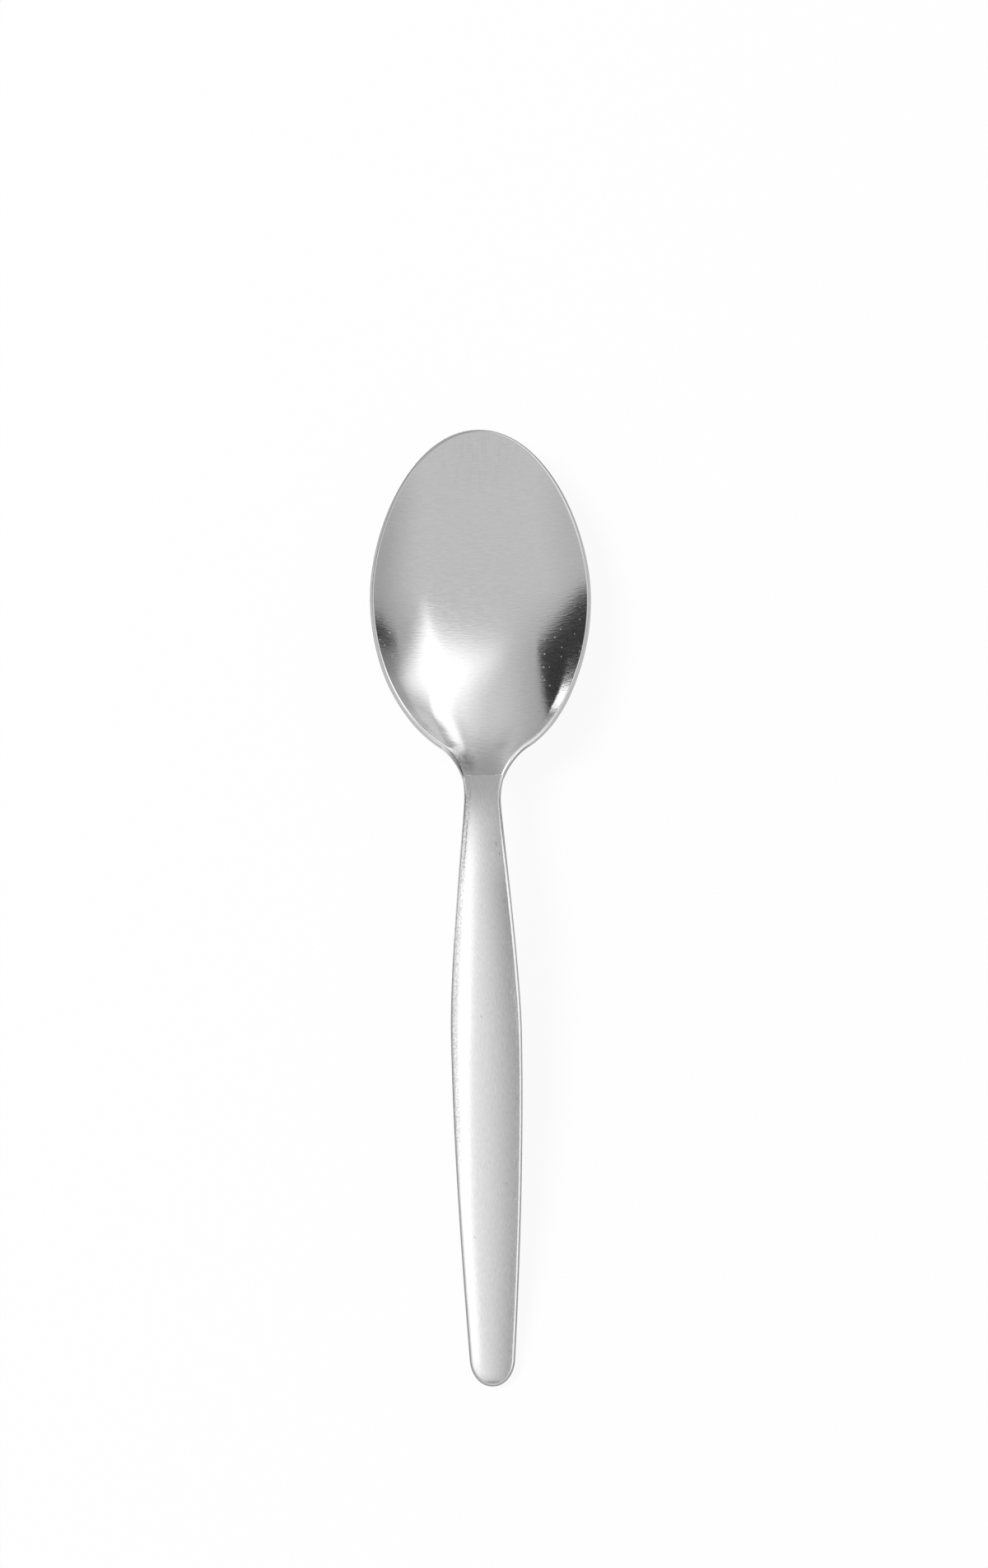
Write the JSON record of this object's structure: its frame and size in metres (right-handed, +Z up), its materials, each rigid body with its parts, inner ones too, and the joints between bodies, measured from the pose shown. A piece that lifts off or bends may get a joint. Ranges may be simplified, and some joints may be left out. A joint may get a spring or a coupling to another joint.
{
  "type": "demitasse spoon",
  "caption": "Small stainless-steel coffee spoon pressed from sheet, with an oval bowl, a narrow neck and a crowned, arched handle with a rounded end.",
  "frame": {"origin": "middle of the spoon's bounding box at the table it rests on", "axes": "+Y along the spoon towards the bowl's tip, +Z up out of the bowl, +X to the right seen from above with the bowl away"},
  "size_m": [0.0252, 0.1102, 0.0081],
  "materials": {
    "stainless_steel": "satin handle, bright brushed bowl"
  },
  "bodies": {
    "root": {"spoon": "stainless_steel"}
  },
  "joints": []
}
